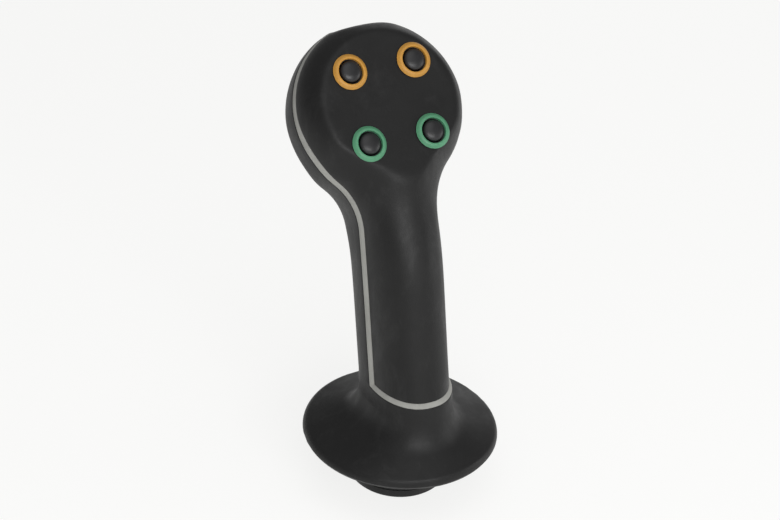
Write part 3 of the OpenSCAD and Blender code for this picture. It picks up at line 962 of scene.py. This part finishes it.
def finish_shell(name, rgb):
    """Black plastic from a spark-eroded tool: satin, with a fine grain and handling marks."""
    mat, tree, shader, place = material(name, IOR=1.5, Specular_IOR_Level=0.3)
    # Uneven black, in clouds some 22 mm across
    cloud = noise(tree, place, 22, Detail=5.0, Roughness=0.6)
    tone = mottled(tree, cloud, rgb, (0.8, 1.3), (0.3, 0.72))
    # Rubbed places are paler and shinier, in patches some 9 mm long that run along the grip
    along = stretched(tree, place, (1.0, 1.0, 0.45))
    rub = noise(tree, along, 9, Detail=6.0, Roughness=0.68, Distortion=0.4)
    worn = remapped(tree, rub, (0.52, 0.72), (0.0, 0.5))
    rubbed = {"Factor": worn, "A": tone, "B": (*tinted(rgb, 2.6), 1)}
    tone = add(tree, "Mix", rubbed, data_type="RGBA").outputs["Result"]
    rough = remapped(tree, rub, (0.3, 0.72), (0.54, 0.40))
    # The real grain is about 0.15 mm, drawn at 0.5 mm so that it shows
    grain = noise(tree, place, 0.5, Detail=3.0, Roughness=0.65)
    connect(tree, shader, tone, rough, grain, 0.45, 0.14)
    return mat


def finish_elastomer(name, rgb):
    """Moulded elastomer: matt, faintly mottled, with a soft skin and no clear highlight."""
    mat, tree, shader, place = material(name, IOR=1.48)
    cloud = noise(tree, place, 6, Detail=5.0, Roughness=0.6)
    grain = noise(tree, place, 0.8, Detail=2.0)
    tone = mottled(tree, cloud, rgb, (0.88, 1.06))
    rough = remapped(tree, cloud, (0.0, 1.0), (0.62, 0.78))
    connect(tree, shader, tone, rough, grain, 0.25, 0.06)
    return mat


def finish_smooth_plastic(name, rgb, roughness=(0.28, 0.4)):
    """Plastic from a polished tool: even colour, satin gloss and faint flow marks."""
    mat, tree, shader, place = material(name, IOR=1.53)
    flow = noise(tree, place, 5, Detail=4.0, Roughness=0.55, Distortion=0.6)
    peel = noise(tree, place, 0.9, Detail=2.0)
    tone = mottled(tree, flow, rgb, (0.94, 1.06))
    rough = remapped(tree, flow, SPREAD, roughness)
    connect(tree, shader, tone, rough, peel, 0.15, 0.04)
    return mat


def finish_metal(name, rgb, roughness=(0.25, 0.42), mark_mm=0.5):
    """Turned, drawn or stamped metal: fine tool marks round the part and uneven shine."""
    mat, tree, shader, place = material(name, Metallic=1.0)
    marks = noise(tree, stretched(tree, place, (0.15, 0.15, 1.0)), mark_mm, Detail=4.0)
    cloud = noise(tree, place, 4, Detail=3.0)
    tone = mottled(tree, cloud, rgb, (0.86, 1.05))
    rough = remapped(tree, marks, SPREAD, roughness)
    connect(tree, shader, tone, rough, marks, 0.2, 0.03)
    return mat


def with_material(obj, mat):
    obj.data.materials.clear()
    obj.data.materials.append(mat)


def carried_over(nodes, mat):
    """Gives a finish to CAD nodes that stay as they are."""
    for name in nodes:
        with_material(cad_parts[name], mat)


def dressed(obj, mat, body, slot, *nodes):
    """Finishes a new piece: material, body if any, and the nodes it stands for, which it hides;
    slot is not used.
    """
    with_material(obj, mat)
    if body:
        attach(obj, body)
    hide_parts(*nodes)
    return obj


# ---- Operators for the pieces ----


class HANDGRIP_OT_shells(bpy.types.Operator):
    """Build the grip body, the front cover, the seal between them and the boss"""

    bl_idname = "handgrip.shells"
    bl_label = "Shells and seal"

    def execute(self, context):
        sizes = context.scene.handgrip_shells
        form = Form(sizes)
        # ABS with a fine moulded grain: a soft sheen that hides the marks of hands
        abs_black = finish_shell("textured_abs_black", tuple(sizes.shell_colour))
        # Glass-filled nylon, moulded: a little paler than the shells
        nylon = finish_shell("textured_nylon_black", tinted(sizes.shell_colour, 1.15))
        # Thermoplastic elastomer, moulded as a cord: the pale matt line round the cover
        tpe = finish_elastomer("tpe_grey", tuple(sizes.seal_colour))
        for mesh, mat, slot, node in (
            (front_cover_mesh, abs_black, "shell_black", "front_cover"),
            (grip_body_mesh, abs_black, "shell_black", "grip_body"),
            (seal_mesh, tpe, "seal_grey", "seal"),
            (boss_mesh, nylon, "boss_black", "mount_boss"),
        ):
            dressed(shade(mesh(form)), mat, "grip", slot, node)
        return {"FINISHED"}


class HANDGRIP_OT_push_buttons(bpy.types.Operator):
    """Build the bezels, the moving caps and the springs of the four push buttons"""

    bl_idname = "handgrip.push_buttons"
    bl_label = "Push buttons"

    def execute(self, context):
        buttons = context.scene.handgrip_buttons
        form = Form(context.scene.handgrip_shells)
        # Nylon caps from a smooth tool: a small round highlight on each dome
        cap = finish_smooth_plastic("moulded_nylon_black", tuple(buttons.cap_colour), (0.34, 0.46))
        # PBT bezels, dyed through and moulded: clear colours with a satin edge
        satin = (0.38, 0.5)
        tints = {
            "yellow": finish_smooth_plastic("moulded_pbt_amber", tuple(buttons.yellow), satin),
            "green": finish_smooth_plastic("moulded_pbt_green", tuple(buttons.green), satin),
        }
        # Drawn spring wire: dull grey with fine lines along the wire
        wire = finish_metal("drawn_spring_steel", linear("#a5a5a2"), (0.3, 0.45), 0.2)
        for name in SWITCHES:
            tint, push = name.split("_")[0], f"push_{name}"
            bezel = shade(bezel_mesh(form, buttons, name), 40)
            dressed(bezel, tints[tint], "grip", f"bezel_{tint}", f"bezel_{name}")
            button = shade(button_mesh(form, buttons, name), 40)
            dressed(button, cap, push, "button_black", f"button_{name}")
            spring = shade(spring_mesh(form, name), 60)
            dressed(spring, wire, None, "spring_steel", f"spring_{name}")
            at = form.switch_frame(name)
            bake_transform(spring)
        return {"FINISHED"}


class HANDGRIP_OT_inside(bpy.types.Operator):
    """Build the threaded lever insert and finish the pieces whose solids stay as they are"""

    bl_idname = "handgrip.inside"
    bl_label = "Insert and inner pieces"

    def execute(self, context):
        # Steel, turned or cold headed, then zinc plated: pale grey with a soft shine
        zinc = finish_metal("zinc_plated_steel", linear("#b9bab8"))
        # Brass, turned or stamped: warm yellow with fine marks
        brass = finish_metal("turned_brass", linear("#b8954f"))
        # Rubber washers, moulded: dark and matt under the bezels
        rubber = finish_elastomer("moulded_rubber", linear("#202021"))
        # Nylon barrels, moulded: smooth dark grey
        nylon = finish_smooth_plastic("nylon_black", linear("#2a2a2d"))
        # Phenolic switch bases, pressed: the red-brown of hard insulating resin
        phenolic = finish_smooth_plastic("phenolic_brown", linear("#6b3428"))
        insert = shade(insert_mesh(Form(context.scene.handgrip_shells)))
        dressed(insert, zinc, "grip", "zinc_steel", "lever_insert")
        carried_over(["cover_screws"], zinc)
        carried_over(["cover_inserts"], brass)
        for s in SWITCHES:
            carried_over([f"nut_{s}"], zinc)
            carried_over([f"bridge_{s}", f"terminals_{s}"], brass)
            carried_over([f"bezel_washer_{s}"], rubber)
            carried_over([f"barrel_{s}"], nylon)
            carried_over([f"switch_base_{s}"], phenolic)
        return {"FINISHED"}


# ---- Stage ----


def from_angles(azimuth, elevation):
    """Direction towards something at an azimuth right of the front and an elevation."""
    a, e = math.radians(azimuth), math.radians(elevation)
    return Vector((math.sin(a) * math.cos(e), -math.cos(a) * math.cos(e), math.sin(e)))


def area_lamp(name, direction, distance, size, watts, target):
    """A rectangular soft lamp that looks at the target from a direction."""
    data = bpy.data.lights.new(name, "AREA")
    data.shape = "RECTANGLE"
    data.size, data.size_y = size
    data.energy = watts
    lamp = bpy.data.objects.new(name, data)
    lamp.location = target + direction * distance
    lamp.rotation_euler = direction.to_track_quat("Z", "Y").to_euler()
    bpy.context.scene.collection.objects.link(lamp)


def seen_by(tree, *rays):
    """1 for the named kinds of ray and 0 for the others."""
    path = add(tree, "LightPath").outputs
    seen = path[rays[0]]
    for ray in rays[1:]:
        seen = add(tree, "Math", {0: seen, 1: path[ray]}, operation="MAXIMUM").outputs[0]
    return seen


def pale_surface(name, rgb):
    """Matt pale floor: part of its white is its own for the camera, so that it stays even."""
    mat = bpy.data.materials.new(name)
    mat.use_nodes = True
    tree = mat.node_tree
    tree.nodes.clear()
    seen = seen_by(tree, "Is Camera Ray", "Is Glossy Ray", "Is Transmission Ray")
    lit = add(tree, "BsdfDiffuse", {"Color": (*tinted(rgb, FLOOR_LIT), 1)})
    glow = add(tree, "Emission", {"Color": (*rgb, 1), "Strength": FLOOR_GLOW})
    both = add(tree, "AddShader", {0: lit.outputs[0], 1: glow.outputs[0]})
    plain = add(tree, "BsdfDiffuse", {"Color": (*rgb, 1)})
    mix = add(tree, "MixShader", {"Fac": seen, 1: plain.outputs[0], 2: both.outputs[0]})
    add(tree, "OutputMaterial", {"Surface": mix.outputs[0]})
    return mat


def light_world(scene):
    """Even white light from all round, which the camera sees as a white background."""
    world = bpy.data.worlds.new("studio") if scene.world is None else scene.world
    scene.world = world
    world.use_nodes = True
    tree = world.node_tree
    tree.nodes.clear()
    seen = seen_by(tree, "Is Camera Ray", "Is Transmission Ray")
    strength = remapped(tree, seen, (0.0, 1.0), (STUDIO_LIGHT, 1.0))
    light = add(tree, "Background", {"Color": (1, 1, 1, 1), "Strength": strength})
    add(tree, "OutputWorld", {"Surface": light.outputs[0]})


def place_camera(scene):
    data = bpy.data.cameras.new("camera")
    data.sensor_width = CAMERA_SENSOR
    data.lens = CAMERA_LENS
    camera = bpy.data.objects.new("camera", data)
    scene.collection.objects.link(camera)
    back = from_angles(-CAMERA_AZIMUTH, CAMERA_ELEVATION)
    right = Vector((0, 0, 1)).cross(back).normalized()
    up = back.cross(right)
    roll = math.radians(CAMERA_ROLL)
    across = right * math.cos(roll) + up * math.sin(roll)
    upright = up * math.cos(roll) - right * math.sin(roll)
    place = Matrix((across, upright, back)).transposed().to_4x4()
    place.translation = Vector(CAMERA_TARGET) + back * CAMERA_DISTANCE
    camera.matrix_world = place
    scene.camera = camera


class HANDGRIP_OT_stage(bpy.types.Operator):
    """Set up floor, soft studio light and camera"""

    bl_idname = "handgrip.stage"
    bl_label = "Stage"

    def execute(self, context):
        stage = context.scene.handgrip_stage
        scene = context.scene
        low, high = (Vector(c) for c in CAD_BOX)
        middle = (low + high) / 2
        s = FLOOR_HALF
        corners = [(x, y, -FLOOR_GAP) for x, y in ((-s, -s), (s, -s), (s, s), (-s, s))]
        floor = new_object("floor", corners, [(0, 1, 2, 3)], scale=1)
        # Matt white backdrop paper: an even pale ground with a soft shadow under the boss
        floor.data.materials.append(pale_surface("floor_paper", tuple(stage.floor_colour)))
        for name, (azimuth, elevation, distance, size) in LAMPS.items():
            watts = getattr(stage, f"{name}_power")
            area_lamp(name, from_angles(azimuth, elevation), distance, size, watts, middle)
        light_world(scene)
        scene.view_settings.view_transform = "Standard"
        place_camera(scene)
        return {"FINISHED"}


# ---- Panel and registration ----

STEPS = (HANDGRIP_OT_shells, HANDGRIP_OT_push_buttons, HANDGRIP_OT_inside, HANDGRIP_OT_stage)
SETTINGS = {
    "handgrip_shells": HANDGRIP_PG_shells,
    "handgrip_buttons": HANDGRIP_PG_buttons,
    "handgrip_stage": HANDGRIP_PG_stage,
}


class HANDGRIP_PT_panel(bpy.types.Panel):
    """Steps of the handgrip, in the order in which they run"""

    bl_idname = "HANDGRIP_PT_panel"
    bl_label = "Handgrip"
    bl_space_type = "VIEW_3D"
    bl_region_type = "UI"
    bl_category = "Handgrip"

    def draw(self, context):
        for step in STEPS:
            self.layout.operator(step.bl_idname)


CLASSES = (*SETTINGS.values(), *STEPS, HANDGRIP_PT_panel)


def register():
    for cls in CLASSES:
        bpy.utils.register_class(cls)
    for name, group in SETTINGS.items():
        setattr(bpy.types.Scene, name, PointerProperty(type=group))


def unregister():
    for name in SETTINGS:
        delattr(bpy.types.Scene, name)
    for cls in reversed(CLASSES):
        bpy.utils.unregister_class(cls)


def main():
    register()
    bpy.ops.handgrip.shells()
    bpy.ops.handgrip.push_buttons()
    bpy.ops.handgrip.inside()
    bpy.ops.handgrip.stage()


if __name__ == "__main__":
    main()
